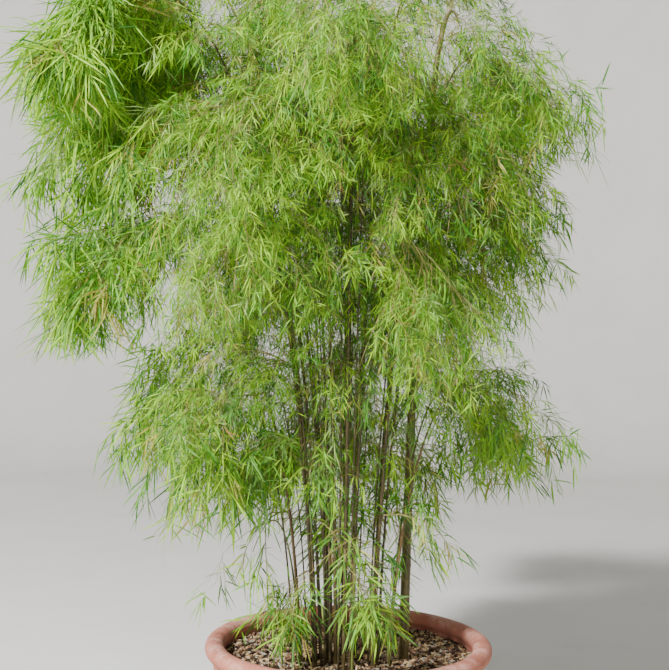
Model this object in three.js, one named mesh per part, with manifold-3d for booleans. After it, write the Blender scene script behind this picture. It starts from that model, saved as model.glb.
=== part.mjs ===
// Weeping bamboo in a wide terracotta bowl: a clump of slender culms that rise from one root, lean out and
// arch over, with narrow leaves that hang from their tips and side branches. Millimetres, +Z up. The
// origin is the centre of the pot's flat underside, and the viewer stands at -Y.
import * as THREE from "three";
import { mergeVertices } from "three/addons/utils/BufferGeometryUtils.js";
import Module from "manifold-3d";

// The pot is a thrown bowl with a rolled lip. The lip is an ellipse in section, open where it meets the
// wall.
const POT_HEIGHT = 400;
const POT_BASE_RADIUS = 235;
const POT_FOOT_ROUND = 8;
const POT_BELLY_RADIUS = 345;
const POT_BELLY_HEIGHT = 100;
const POT_NECK_RADIUS = 395;
const POT_WALL = 25;
const POT_FLOOR = 30;
const POT_SIDES = 36;
const BOWL_STEPS = 5;
const LIP_RADIUS = 420;
const LIP_WIDTH = 57;
const LIP_HEIGHT = 50;
const LIP_STEPS = 6;
const LIP_START = -36;
const LIP_END = 216;

// The soil fills the bowl to a little below the lip.
const SOIL_BELOW_LIP = 52;
const SOIL_TOP = POT_HEIGHT - SOIL_BELOW_LIP;

// Solids that touch in the real plant stay this far apart.
const SEAT = 0.3;

// The clump stands a little in front of the pot's centre. Its crown reaches further to the left than to
// the right, where it is also lower, and a little less far to the front and back. Bearings are in degrees,
// with 0 to the right and 90 to the back.
const CLUMP_X = -15;
const CLUMP_Y = -100;
const LEFT = 180;
const LEFT_SKEW = 0.34;
const DEPTH_CUT = 0.14;
const RIGHT_DROP = 0.08;

// Each tier is a ring of culms round the clump. first is the bearing of its first foot, step the angle to
// the next, and ring the distance of the feet from the clump's centre. A culm leans out on its foot's
// bearing, turned by lean. reach is how far the drooping end of its top spray comes out beyond the foot,
// height how high the culm would stand above the soil, and droop how far that end hangs below it.
// culmShare is the part of this line that is bare culm, and radius the culm's at its foot. leafiness is
// the size of its twigs and leaves against the largest. Side sprays leave the culm at a ring of its solid,
// turned from the culm's own bearing.
const TIERS = [
  {
    name: "inner", count: 5, first: 60, step: 60, lean: 0, ring: 45, radius: 5.5,
    reach: 400, height: 2050, droop: 90, culmShare: 0.76, leafiness: 1,
    sprays: [],
  },
  {
    name: "outer", count: 6, first: 210, step: 60, lean: 0, ring: 95, radius: 5.5,
    reach: 575, height: 2110, droop: 400, culmShare: 0.68, leafiness: 1,
    sprays: [
      { ring: 7, turn: -58, length: 400, lift: 50, fall: 250 },
      { ring: 5, turn: 50, length: 400, lift: 60, fall: 170 },
    ],
  },
  {
    name: "middle", count: 2, first: 180, step: -100, lean: 0, ring: 122, radius: 5,
    reach: 300, height: 1200, droop: 500, culmShare: 0.64, leafiness: 0.85,
    sprays: [{ ring: 6, turn: 50, length: 250, lift: 50, fall: 160 }],
  },
  {
    name: "low", count: 1, first: 355, step: 0, lean: 0, ring: 130, radius: 4.5,
    reach: 470, height: 1030, droop: 220, culmShare: 0.6, leafiness: 0.85,
    sprays: [],
  },
  {
    name: "shoot", count: 4, first: 200, step: 80, lean: 0, ring: 132, radius: 4,
    reach: 110, height: 540, droop: 200, culmShare: 0.6, leafiness: 0.58,
    sprays: [],
  },
  {
    name: "stout", count: 1, first: 15, step: 0, lean: -15, ring: 181, radius: 14,
    reach: 200, height: 2130, droop: 130, culmShare: 0.8, leafiness: 1,
    sprays: [{ ring: 5, turn: -20, length: 420, lift: 50, fall: 200 }],
  },
  {
    name: "back", count: 1, first: 57, step: 0, lean: -45, ring: 270, radius: 4.5,
    reach: 360, height: 980, droop: 200, culmShare: 0.65, leafiness: 0.8,
    sprays: [],
  },
];

// Culms rise almost straight and bend over near the top. The shares are of a culm's reach and height.
const CULM_RISE = { out: 0.06, up: 0.5 };
const CULM_SHOULDER = { out: 0.4, up: 1.08 };
const CULM_SIDES = 5;
const CULM_STEPS = 8;
const CULM_TAPER = 0.5;

// A spray is a stem with twigs to the left and right. A side spray leaves its culm square and then falls:
// the shares are of its length. Ranges hold the least and the most that a seeded draw may give.
const STEM_FOOT_RADIUS = 5;
const STEM_TIP_RADIUS = 3.4;
const STEM_STEPS = 4;
const STEM_SQUARE = 0.3;
const STEM_SHOULDER = 0.75;
const TWIG_COUNT = 4;
const TWIG_FIRST = 0.6;
const TWIG_LENGTH = 250;
const TWIG_SHORTENING = 0.35;
const TWIG_DROOP = 0.3;
const TWIG_FOOT_RADIUS = 2.4;
const TWIG_TIP_RADIUS = 1.8;
const TWIG_STEPS = 2;
const TWIG_TURN = [0.63, 1.17];
const TWIG_LIFT = [-0.15, 0.35];
const TWIG_SIZE = [0.8, 1.2];
const THREE_SIDES = 3;

// Leaves leave a twig or the stem at these shares of its length, turned to one side and the other. Each is
// a long flat octahedron whose waist is arched up a little.
const LEAF_PLACES = [
  { share: 0.97, turn: 0.4 },
  { share: 0.8, turn: -1 },
  { share: 0.55, turn: 1 },
  { share: 0.35, turn: -1 },
];
const LEAVES_PER_SPRAY = 13;
const LEAF_LENGTH = 300;
const LEAF_WIDTH = 44;
const LEAF_THICKNESS = 5;
const LEAF_WAIST = 0.32;
const LEAF_ARCH = 0.03;
const LEAF_SINK = 0.6;
const LEAF_TURN = [0.48, 1.12];
const LEAF_HANG = [0.18, 0.78];
const LEAF_SIZE = [0.75, 1.15];
const LEAF_TRIES = 24;

// A spray keeps to its own space: each station along its twigs and leaves is nearer to its own stem than
// to any other by a margin, and clear of the culms and the pot. Past its root a leaf also clears the
// leaves and twigs beside it.
const STATIONS = 8;
const ROOT_STATIONS = 2;
const SPACE_MARGIN = 6;
const LIMB_CLEARANCE = 14;
const POT_CLEARANCE = 6;
const LEAF_ROOM = 0.6;
const TWIG_ROOM = 10;

const UP = new THREE.Vector3(0, 0, 1);
const FIRST_SEED = 4407;
const SEED_STEP = 617;
const SEED_FACTOR = 16807;
const SEED_LIMIT = 2147483647;

const wasm = await Module();
wasm.setup();

const terracotta = plainMaterial("terracotta", "#b5705a", 0.85);
const mulch = plainMaterial("mulch", "#5a3f2c", 0.95);
const cane = plainMaterial("cane", "#82753f", 0.55);
const leafGreen = plainMaterial("leaf green", "#8fb03c", 0.5);

function plainMaterial(name, color, roughness) {
  return new THREE.MeshStandardMaterial({ name, color, roughness });
}

// Numbers within a range, the same each time for the same seed.
function drawsFrom(seed) {
  let state = seed;
  return ([least, most]) => {
    state = (state * SEED_FACTOR) % SEED_LIMIT;
    return least + (most - least) * (state / SEED_LIMIT);
  };
}

function bearing(degrees) {
  const angle = THREE.MathUtils.degToRad(degrees);
  return new THREE.Vector3(Math.cos(angle), Math.sin(angle), 0);
}

// How far the crown reaches on a bearing, against its reach on average.
function reachShare(degrees) {
  const fromLeft = THREE.MathUtils.degToRad(degrees - LEFT);
  return (1 + LEFT_SKEW * Math.cos(fromLeft)) * (1 - DEPTH_CUT * Math.sin(fromLeft) ** 2);
}

// How high a culm stands on a bearing, against one on the left.
function heightShare(degrees) {
  const fromLeft = THREE.MathUtils.degToRad(degrees - LEFT);
  return 1 - (RIGHT_DROP * (1 - Math.cos(fromLeft))) / 2;
}

function pointFrom(start, direction, along, up) {
  return start.clone().addScaledVector(direction, along).addScaledVector(UP, up);
}

// The level direction square to another one.
function acrossOf(direction) {
  return UP.clone().cross(direction).normalize();
}

// Part of a longer curve, from one share of it to another.
class Stretch extends THREE.Curve {
  constructor(curve, from, to) {
    super();
    this.curve = curve;
    this.from = from;
    this.to = to;
  }

  getPoint(share, target = new THREE.Vector3()) {
    return target.copy(this.curve.getPoint(THREE.MathUtils.lerp(this.from, this.to, share)));
  }

  getTangent(share, target = new THREE.Vector3()) {
    return target.copy(this.curve.getTangent(THREE.MathUtils.lerp(this.from, this.to, share)));
  }
}

// A limb is a path with a thickness at both ends. Its solid has a ring of corners after every step.
function makeLimb(path, heading, shape) {
  return { path, across: acrossOf(heading), points: path.getPoints(shape.steps), ...shape };
}

// The two directions across a limb at a share of its path. A culm's foot is cut level.
function frameAt(limb, share) {
  const along = limb.levelFoot && share === 0 ? UP : limb.path.getTangent(share);
  const side = limb.across.clone().addScaledVector(along, -limb.across.dot(along)).normalize();
  return { side, depth: side.clone().cross(along) };
}

// A cylinder bent along the limb's path.
function limbGeometry(limb) {
  const geometry = new THREE.CylinderGeometry(limb.tipRadius, limb.footRadius, 1, limb.sides, limb.steps);
  const position = geometry.attributes.position;
  for (let i = 0; i < position.count; i++) {
    const share = position.getY(i) + 0.5;
    const { side, depth } = frameAt(limb, share);
    const corner = limb.path.getPoint(share);
    corner.addScaledVector(side, position.getX(i)).addScaledVector(depth, position.getZ(i));
    position.setXYZ(i, corner.x, corner.y, corner.z);
  }
  return bareGeometry(geometry);
}

// The middle of a limb's solid at a share of its length, and the way it runs there.
function placeOn(limb, share) {
  const step = Math.min(Math.floor(share * limb.steps), limb.steps - 1);
  const from = limb.points[step];
  const to = limb.points[step + 1];
  const point = from.clone().lerp(to, share * limb.steps - step);
  return { point, along: to.clone().sub(from).normalize() };
}

// How far a limb's ring of corners reaches from its middle in a direction.
function ringReach(limb, share, direction) {
  const { side, depth } = frameAt(limb, share);
  const radius = THREE.MathUtils.lerp(limb.footRadius, limb.tipRadius, share);
  let furthest = 0;
  for (let corner = 0; corner < limb.sides; corner++) {
    const angle = (corner / limb.sides) * 2 * Math.PI;
    const offset = side.clone().multiplyScalar(Math.sin(angle)).addScaledVector(depth, Math.cos(angle));
    furthest = Math.max(furthest, radius * offset.dot(direction));
  }
  return furthest;
}

// Positions alone, with each corner shared by the faces that meet there.
function bareGeometry(geometry) {
  geometry.deleteAttribute("normal");
  geometry.deleteAttribute("uv");
  return mergeVertices(geometry);
}

function toSolid(geometry) {
  const vertProperties = new Float32Array(geometry.attributes.position.array);
  const triVerts = new Uint32Array(geometry.index.array);
  return new wasm.Manifold(new wasm.Mesh({ numProp: 3, vertProperties, triVerts }));
}

function toGeometry(solid) {
  const { vertProperties, triVerts } = solid.getMesh();
  const geometry = new THREE.BufferGeometry();
  geometry.setAttribute("position", new THREE.BufferAttribute(vertProperties, 3));
  geometry.setIndex(new THREE.BufferAttribute(triVerts, 1));
  return geometry;
}

function namedMesh(name, geometry, material) {
  geometry.computeVertexNormals();
  const mesh = new THREE.Mesh(geometry, material);
  mesh.name = name;
  return mesh;
}

// The bowl's outer side as points of radius and height, from the foot to the neck under the lip.
function bowlSide() {
  const neckHeight = POT_HEIGHT - LIP_HEIGHT;
  const foot = new THREE.Vector2(POT_BASE_RADIUS, POT_FOOT_ROUND);
  const belly = new THREE.Vector2(POT_BELLY_RADIUS, POT_BELLY_HEIGHT);
  const shoulder = new THREE.Vector2(POT_NECK_RADIUS, neckHeight / 2);
  const neck = new THREE.Vector2(POT_NECK_RADIUS, neckHeight);
  return new THREE.CubicBezierCurve(foot, belly, shoulder, neck).getPoints(BOWL_STEPS);
}

// The bowl's inner side, one wall's thickness in, from the neck down to the floor.
function bowlInside() {
  const above = bowlSide().filter((point) => point.y > POT_FLOOR + POT_WALL);
  const inner = above.map((point) => new THREE.Vector2(point.x - POT_WALL, point.y)).reverse();
  const lowest = inner[inner.length - 1];
  inner.push(new THREE.Vector2(lowest.x - POT_WALL, POT_FLOOR));
  return inner;
}

// The rolled lip, from under its outer edge over the top to its inner edge.
function lipRound() {
  const round = [];
  for (let step = 0; step <= LIP_STEPS; step++) {
    const angle = THREE.MathUtils.degToRad(THREE.MathUtils.lerp(LIP_START, LIP_END, step / LIP_STEPS));
    const radius = LIP_RADIUS - (LIP_WIDTH / 2) * (1 - Math.cos(angle));
    const height = POT_HEIGHT - (LIP_HEIGHT / 2) * (1 - Math.sin(angle));
    round.push(new THREE.Vector2(radius, height));
  }
  return round;
}

// A round solid from its profile. A lathe turns about Y, and the pot stands along Z.
function turned(profile) {
  return bareGeometry(new THREE.LatheGeometry(profile, POT_SIDES).rotateX(Math.PI / 2));
}

function potGeometry() {
  const underside = [new THREE.Vector2(0, 0), new THREE.Vector2(POT_BASE_RADIUS - POT_FOOT_ROUND, 0)];
  const floorMiddle = new THREE.Vector2(0, POT_FLOOR);
  return turned([...underside, ...bowlSide(), ...lipRound(), ...bowlInside(), floorMiddle]);
}

// The soil follows the bowl's inside and is cut level where the culms stand.
function soilGeometry() {
  const wall = bowlInside().reverse().filter((point) => point.y < SOIL_TOP);
  const seated = wall.map((point) => new THREE.Vector2(point.x - SEAT, point.y));
  seated[0].y += SEAT;
  const bottom = new THREE.Vector2(0, POT_FLOOR + SEAT);
  const rim = new THREE.Vector2(POT_NECK_RADIUS - POT_WALL - SEAT, SOIL_TOP);
  const top = new THREE.Vector2(0, SOIL_TOP);
  return turned([bottom, ...seated, rim, top]);
}

// The whole line of a culm, from its foot at the soil to the drooping end of its top spray.
function culmLine(tier, footDegrees) {
  const out = bearing(footDegrees + tier.lean);
  const reach = tier.reach * reachShare(footDegrees + tier.lean);
  const height = tier.height * heightShare(footDegrees + tier.lean);
  const centre = new THREE.Vector3(CLUMP_X, CLUMP_Y, SOIL_TOP + SEAT);
  const foot = centre.addScaledVector(bearing(footDegrees), tier.ring);
  const rise = pointFrom(foot, out, reach * CULM_RISE.out, height * CULM_RISE.up);
  const shoulder = pointFrom(foot, out, reach * CULM_SHOULDER.out, height * CULM_SHOULDER.up);
  const end = pointFrom(foot, out, reach, height - tier.droop);
  return new THREE.CubicBezierCurve3(foot, rise, shoulder, end);
}

function makeCulm(line, heading, tier) {
  return makeLimb(new Stretch(line, 0, tier.culmShare), heading, {
    footRadius: tier.radius,
    tipRadius: tier.radius * CULM_TAPER,
    sides: CULM_SIDES,
    steps: CULM_STEPS,
    levelFoot: true,
  });
}

function makeStem(path, heading) {
  return makeLimb(path, heading, {
    footRadius: STEM_FOOT_RADIUS,
    tipRadius: STEM_TIP_RADIUS,
    sides: THREE_SIDES,
    steps: STEM_STEPS,
  });
}

// The stem of a culm's top spray carries on along the culm's line.
function topStem(line, heading, tier) {
  const gap = SEAT / line.getLength();
  return makeStem(new Stretch(line, tier.culmShare + gap, 1), heading);
}

// The stem of a side spray starts square to the culm at one of its rings, then arches out and falls.
function sideStem(culm, spray, degrees) {
  const heading = bearing(degrees);
  const share = spray.ring / culm.steps;
  const along = culm.path.getTangent(share);
  const square = heading.clone().addScaledVector(along, -heading.dot(along)).normalize();
  const start = culm.path.getPoint(share).addScaledVector(square, ringReach(culm, share, square) + SEAT);
  const length = spray.length * reachShare(degrees);
  const first = start.clone().addScaledVector(square, length * STEM_SQUARE);
  const shoulder = pointFrom(start, heading, length * STEM_SHOULDER, spray.lift);
  const end = pointFrom(start, heading, length, -spray.fall);
  return makeStem(new THREE.CubicBezierCurve3(start, first, shoulder, end), heading);
}

function growClump() {
  const culms = [];
  const sprays = [];
  for (const tier of TIERS) {
    const leafiness = tier.leafiness;
    for (let i = 0; i < tier.count; i++) {
      const name = `${tier.name}_${i + 1}`;
      const footDegrees = tier.first + i * tier.step;
      const degrees = footDegrees + tier.lean;
      const heading = bearing(degrees);
      const line = culmLine(tier, footDegrees);
      const culm = makeCulm(line, heading, tier);
      culms.push({ name: `culm_${name}`, limb: culm });
      sprays.push({ name: `foliage_${name}_top`, stem: topStem(line, heading, tier), leafiness });
      tier.sprays.forEach((spray, place) => {
        const stem = sideStem(culm, spray, degrees + spray.turn);
        sprays.push({ name: `foliage_${name}_side_${place + 1}`, stem, leafiness });
      });
    }
  }
  return { culms, sprays };
}

// How near a place is to a line through several points.
function distanceTo(points, place) {
  const segment = new THREE.Line3();
  const nearest = new THREE.Vector3();
  let least = Infinity;
  for (let i = 1; i < points.length; i++) {
    segment.set(points[i - 1], points[i]);
    segment.closestPointToPoint(place, true, nearest);
    least = Math.min(least, nearest.distanceTo(place));
  }
  return least;
}

function clearOfPot(place) {
  const radius = Math.hypot(place.x, place.y);
  const overRim = place.z > POT_HEIGHT + POT_CLEARANCE;
  const insideRim = radius < LIP_RADIUS - LIP_WIDTH - POT_CLEARANCE && place.z > SOIL_TOP + POT_CLEARANCE;
  const outsideRim = radius > LIP_RADIUS + POT_CLEARANCE && place.z > 0;
  return overRim || insideRim || outsideRim;
}

// Whether a place belongs to a spray's own space.
function inOwnSpace(place, own, sprays, culms) {
  const reach = distanceTo(own.stem.points, place) + SPACE_MARGIN;
  const offCulms = culms.every(({ limb }) => {
    return distanceTo(limb.points, place) > limb.footRadius + LIMB_CLEARANCE;
  });
  const nearestOwn = sprays.every((other) => {
    return other === own || distanceTo(other.stem.points, place) > reach;
  });
  return offCulms && nearestOwn && clearOfPot(place);
}

// The twigs of a spray leave its stem to the left and right in turn, and droop.
function growTwigs(spray, draw) {
  const twigs = [];
  for (let i = 0; i < TWIG_COUNT; i++) {
    const share = (i + TWIG_FIRST) / TWIG_COUNT;
    const { point: start, along } = placeOn(spray.stem, share);
    const turn = (i % 2 === 0 ? 1 : -1) * draw(TWIG_TURN);
    const direction = along.addScaledVector(spray.stem.across, turn).normalize();
    direction.addScaledVector(UP, draw(TWIG_LIFT)).normalize();
    const length = TWIG_LENGTH * spray.leafiness * (1 - TWIG_SHORTENING * share) * draw(TWIG_SIZE);
    const middle = pointFrom(start, direction, length / 2, 0);
    const end = pointFrom(start, direction, length, -length * TWIG_DROOP);
    twigs.push(makeLimb(new THREE.QuadraticBezierCurve3(start, middle, end), direction, {
      footRadius: TWIG_FOOT_RADIUS,
      tipRadius: TWIG_TIP_RADIUS,
      sides: THREE_SIDES,
      steps: TWIG_STEPS,
    }));
  }
  return twigs;
}

function twigSamples(twig) {
  const samples = [];
  for (let station = ROOT_STATIONS; station <= STATIONS; station++) {
    samples.push(placeOn(twig, station / STATIONS).point);
  }
  return samples;
}

// A leaf turns from its twig to one side and leans towards the ground.
function growLeaf(twig, place, size, draw) {
  const { point, along } = placeOn(twig, place.share);
  const direction = along.addScaledVector(twig.across, place.turn * draw(LEAF_TURN));
  direction.addScaledVector(UP, -draw(LEAF_HANG)).normalize();
  const root = point.addScaledVector(direction, -LEAF_SINK);
  const length = LEAF_LENGTH * size * draw(LEAF_SIZE);
  const tip = pointFrom(root, direction, length, 0);
  return { root, direction, side: acrossOf(direction), length, tip, width: LEAF_WIDTH * size };
}

function leafGeometry(leaf) {
  const geometry = new THREE.OctahedronGeometry(1);
  const position = geometry.attributes.position;
  const normal = leaf.side.clone().cross(leaf.direction).normalize();
  for (let i = 0; i < position.count; i++) {
    const along = Math.round(position.getY(i));
    const share = along === 0 ? LEAF_WAIST : (along + 1) / 2;
    const lift = along === 0 ? leaf.length * LEAF_ARCH : 0;
    const corner = pointFrom(leaf.root, leaf.direction, share * leaf.length, lift);
    corner.addScaledVector(leaf.side, (position.getX(i) * leaf.width) / 2);
    corner.addScaledVector(normal, (position.getZ(i) * LEAF_THICKNESS) / 2);
    position.setXYZ(i, corner.x, corner.y, corner.z);
  }
  return bareGeometry(geometry);
}

// Places along both edges of a leaf, from its root to its tip.
function leafSamples(leaf) {
  const samples = [];
  for (let station = 1; station <= STATIONS; station++) {
    const share = station / STATIONS;
    const half = (leaf.width / 2) * Math.min(share / LEAF_WAIST, (1 - share) / (1 - LEAF_WAIST));
    const middle = pointFrom(leaf.root, leaf.direction, share * leaf.length, 0);
    samples.push(middle.clone().addScaledVector(leaf.side, half), middle.addScaledVector(leaf.side, -half));
  }
  return samples;
}

// Whether a leaf clears the other leaves and twigs of its spray.
function hasRoom(samples, leaves, twigs) {
  const outer = samples.slice(2 * ROOT_STATIONS);
  const offLeaves = leaves.every(({ root, tip, width }) => {
    return outer.every((place) => distanceTo([root, tip], place) > LEAF_ROOM * width);
  });
  const offTwigs = twigs.every(({ points }) => {
    return outer.every((place) => distanceTo(points, place) > TWIG_ROOM);
  });
  return offLeaves && offTwigs;
}

// The first leaf of several tries that suits, or nothing.
function suitableLeaf(twig, place, size, draw, suits) {
  for (let attempt = 0; attempt < LEAF_TRIES; attempt++) {
    const leaf = growLeaf(twig, place, size, draw);
    if (suits(leafSamples(leaf))) return leaf;
  }
  return null;
}

// Whether a corner of the solid lies at a place, within a stem's thickness.
function holds(solid, place) {
  const { vertProperties } = solid.getMesh();
  const corner = new THREE.Vector3();
  for (let i = 0; i < vertProperties.length; i += 3) {
    if (corner.fromArray(vertProperties, i).distanceTo(place) < STEM_FOOT_RADIUS + SEAT) return true;
  }
  return false;
}

// A stem, its twigs and their leaves, joined into one solid. The outermost leaves come first, and loose
// scraps go.
function growSpray(spray, seed, sprays, culms) {
  const draw = drawsFrom(seed);
  const fits = (place) => inOwnSpace(place, spray, sprays, culms);
  const twigs = growTwigs(spray, draw).filter((twig) => twigSamples(twig).every(fits));
  const limbs = [spray.stem, ...twigs];
  const leaves = [];
  const suits = (samples) => hasRoom(samples, leaves, twigs) && samples.every(fits);
  for (const place of LEAF_PLACES) {
    for (const limb of limbs) {
      const leaf = suitableLeaf(limb, place, spray.leafiness, draw, suits);
      if (leaf && leaves.length < LEAVES_PER_SPRAY) leaves.push(leaf);
    }
  }
  const solids = [...limbs.map(limbGeometry), ...leaves.map(leafGeometry)].map(toSolid);
  return wasm.Manifold.union(solids).decompose().find((piece) => holds(piece, spray.stem.points[0]));
}

const plant = new THREE.Group();
plant.add(namedMesh("pot", potGeometry(), terracotta));
plant.add(namedMesh("soil", soilGeometry(), mulch));
const { culms, sprays } = growClump();
for (const culm of culms) {
  plant.add(namedMesh(culm.name, limbGeometry(culm.limb), cane));
}
sprays.forEach((spray, i) => {
  const solid = growSpray(spray, FIRST_SEED + SEED_STEP * i, sprays, culms);
  plant.add(namedMesh(spray.name, toGeometry(solid), leafGreen));
});

export default plant;
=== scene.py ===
import math

import bpy
import numpy as np
from mathutils import Matrix, Vector, noise


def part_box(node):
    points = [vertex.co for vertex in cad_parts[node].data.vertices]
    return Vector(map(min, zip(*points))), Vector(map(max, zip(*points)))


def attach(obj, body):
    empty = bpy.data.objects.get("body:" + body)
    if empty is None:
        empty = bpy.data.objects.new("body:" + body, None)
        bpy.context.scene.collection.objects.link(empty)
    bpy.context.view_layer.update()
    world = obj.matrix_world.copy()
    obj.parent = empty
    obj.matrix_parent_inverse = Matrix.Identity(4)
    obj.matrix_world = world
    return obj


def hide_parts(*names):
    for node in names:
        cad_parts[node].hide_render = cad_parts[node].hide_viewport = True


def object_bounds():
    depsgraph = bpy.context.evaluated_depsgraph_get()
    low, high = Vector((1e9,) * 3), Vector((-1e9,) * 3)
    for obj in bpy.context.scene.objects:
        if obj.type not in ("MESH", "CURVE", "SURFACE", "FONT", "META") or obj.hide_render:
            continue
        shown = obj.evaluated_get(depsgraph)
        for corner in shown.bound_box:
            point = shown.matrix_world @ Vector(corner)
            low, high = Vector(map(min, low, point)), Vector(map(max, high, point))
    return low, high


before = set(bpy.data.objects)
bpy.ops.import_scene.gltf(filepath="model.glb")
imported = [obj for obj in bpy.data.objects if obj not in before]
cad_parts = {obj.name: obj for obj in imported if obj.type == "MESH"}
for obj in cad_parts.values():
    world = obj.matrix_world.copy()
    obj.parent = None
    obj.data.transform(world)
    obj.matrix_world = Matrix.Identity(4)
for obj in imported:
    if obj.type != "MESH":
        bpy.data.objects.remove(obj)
cad_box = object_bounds()

# Camera
# A viewer stands 3.8 m in front of the bowl, eyes at 1.41 m, and looks slightly down with the head tilted a
# little, so that the crown fills the view and the bowl's front is just below it.
VIEW_PLACE = Vector((-0.054, -3.797, 1.41))
VIEW_DOWN = math.radians(1.81)
VIEW_TILT = math.radians(0.85)
VIEW_LENS = 69.85

level_right = Vector((1, 0, 0))
view_forward = Vector((0, math.cos(VIEW_DOWN), -math.sin(VIEW_DOWN)))
level_up = level_right.cross(view_forward)
view_right = math.cos(VIEW_TILT) * level_right + math.sin(VIEW_TILT) * level_up
view_up = view_right.cross(view_forward)
lens = bpy.data.cameras.new("view")
lens.lens = VIEW_LENS
camera = bpy.data.objects.new("view", lens)
view_turn = Matrix((view_right, view_up, -view_forward)).transposed().to_4x4()
camera.matrix_world = Matrix.Translation(VIEW_PLACE) @ view_turn
bpy.context.scene.collection.objects.link(camera)
bpy.context.scene.camera = camera

# Terracotta bowl
# A wide bowl of red earthenware, thrown on a wheel, with a thick rolled lip. It is unglazed, so it has dusty
# mineral bloom on its high places, throwing rings, pits, and a darker damp band near the ground.
POT_HEIGHT = 0.400
POT_BASE_RADIUS = 0.235
POT_FOOT_ROUND = 0.008
POT_BELLY = (0.345, 0.100)
POT_NECK_RADIUS = 0.395
POT_WALL = 0.025
POT_FLOOR = 0.030
POT_SIDES = 160
LIP_RADIUS = 0.420
LIP_WIDTH = 0.057
LIP_HEIGHT = 0.050
LIP_START = math.radians(-36)
LIP_END = math.radians(216)
WALL_STATIONS = 56
LIP_STATIONS = 44
THROWING_RING = 0.017
THROWING_DEPTH = 0.0007
THROWING_FADE = (0.03, 0.02)
WHEEL_WOBBLE = 0.0012
WHEEL_WAVES = [(2, 1.0, 1.0), (3, 0.6, 2.2), (7, 0.4, 0.0)]
WHEEL_FADE = 0.1

UP = np.array((0.0, 0.0, 1.0))


def bezier(controls, share):
    """Places at shares from 0 to 1 along cubic curves."""
    start, first, second, end = np.moveaxis(np.asarray(controls, float), -2, 0)
    share = np.asarray(share, float)[..., None]
    rest = 1 - share
    return rest**3 * start + 3 * rest**2 * share * first + 3 * rest * share**2 * second + share**3 * end


def make_mesh(name, vertices, faces, smooth=True):
    """A mesh object from an array of places and arrays of triangles, quads or longer faces."""
    mesh = bpy.data.meshes.new(name)
    corners = np.concatenate([f.ravel() for f in faces]).astype(np.int32)
    sizes = np.concatenate([np.full(len(f), f.shape[1]) for f in faces])
    starts = np.concatenate([[0], np.cumsum(sizes)[:-1]]).astype(np.int32)
    mesh.vertices.add(len(vertices))
    mesh.vertices.foreach_set("co", np.asarray(vertices, np.float32).ravel())
    mesh.loops.add(len(corners))
    mesh.loops.foreach_set("vertex_index", corners)
    mesh.polygons.add(len(sizes))
    mesh.polygons.foreach_set("loop_start", starts)
    mesh.polygons.foreach_set("use_smooth", np.full(len(sizes), smooth))
    mesh.update(calc_edges=True)
    piece = bpy.data.objects.new(name, mesh)
    bpy.context.scene.collection.objects.link(piece)
    return piece


def ring_faces(rings, sides):
    """Quads between rings of corners that follow each other."""
    ring = np.arange(rings - 1)[:, None] * sides
    side = np.arange(sides)[None, :]
    after = (side + 1) % sides
    quads = np.stack([ring + side, ring + after, ring + sides + after, ring + sides + side], -1)
    return quads.reshape(-1, 4)


def turned(name, profile, sides, shaped):
    """A round solid whose profile starts and ends on its axis. shaped moves its places a little."""
    profile = np.asarray(profile)
    angle = np.linspace(0, 2 * math.pi, sides, endpoint=False)
    radius = profile[1:-1, :1] * np.ones(sides)
    height = profile[1:-1, 1:] * np.ones(sides)
    radius, height = shaped(radius, height, angle[None, :] * np.ones_like(radius))
    rings = np.stack([radius * np.cos(angle), radius * np.sin(angle), height], -1).reshape(-1, 3)
    ends = [[0, 0, profile[0, 1]], [0, 0, height[-1].mean()]]
    side = np.arange(sides)
    after = (side + 1) % sides
    first = len(rings)
    last_ring = first - sides
    bottom = np.stack([np.full(sides, first), after, side], -1)
    top = np.stack([last_ring + side, last_ring + after, np.full(sides, first + 1)], -1)
    return make_mesh(name, np.concatenate([rings, ends]), [ring_faces(len(profile) - 2, sides), bottom, top])


def bowl_side():
    """The bowl's outer side as radius and height, from the foot to the neck."""
    neck_height = POT_HEIGHT - LIP_HEIGHT
    shoulder = (POT_NECK_RADIUS, neck_height / 2)
    controls = [(POT_BASE_RADIUS, POT_FOOT_ROUND), POT_BELLY, shoulder, (POT_NECK_RADIUS, neck_height)]
    return bezier(controls, np.linspace(0, 1, WALL_STATIONS))


def bowl_inside():
    """The bowl's inner side, from the neck down to the edge of the floor."""
    side = bowl_side()
    inner = side[side[:, 1] > POT_FLOOR + POT_WALL][::-1] - (POT_WALL, 0)
    return np.concatenate([inner, [(inner[-1, 0] - POT_WALL, POT_FLOOR)]])


def lip_round():
    """The rolled lip as radius and height, from outside over the top to inside."""
    angle = np.linspace(LIP_START, LIP_END, LIP_STATIONS)
    radius = LIP_RADIUS - LIP_WIDTH / 2 * (1 - np.cos(angle))
    height = POT_HEIGHT - LIP_HEIGHT / 2 * (1 - np.sin(angle))
    return np.stack([radius, height], -1)


def thrown(radius, height, angle):
    """Throwing rings on the walls, and the slight unevenness of a bowl turned by hand."""
    above_foot = np.clip((height - POT_FOOT_ROUND) / THROWING_FADE[0], 0, 1)
    below_neck = np.clip((POT_HEIGHT - LIP_HEIGHT - height) / THROWING_FADE[1], 0, 1)
    turn = height / THROWING_RING + angle / (2 * math.pi)
    ring = THROWING_DEPTH * above_foot * below_neck * np.sin(2 * math.pi * turn)
    wobble = WHEEL_WOBBLE * sum(depth * np.sin(waves * angle + start) for waves, depth, start in WHEEL_WAVES)
    return radius + ring + wobble * np.clip(height / WHEEL_FADE, 0, 1), height


foot = [(0, 0), (POT_BASE_RADIUS - POT_FOOT_ROUND, 0),
        (POT_BASE_RADIUS - POT_FOOT_ROUND / 3, POT_FOOT_ROUND / 3)]
bowl = turned("bowl", [*foot, *bowl_side(), *lip_round(), *bowl_inside(), (0, POT_FLOOR)], POT_SIDES, thrown)


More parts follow.
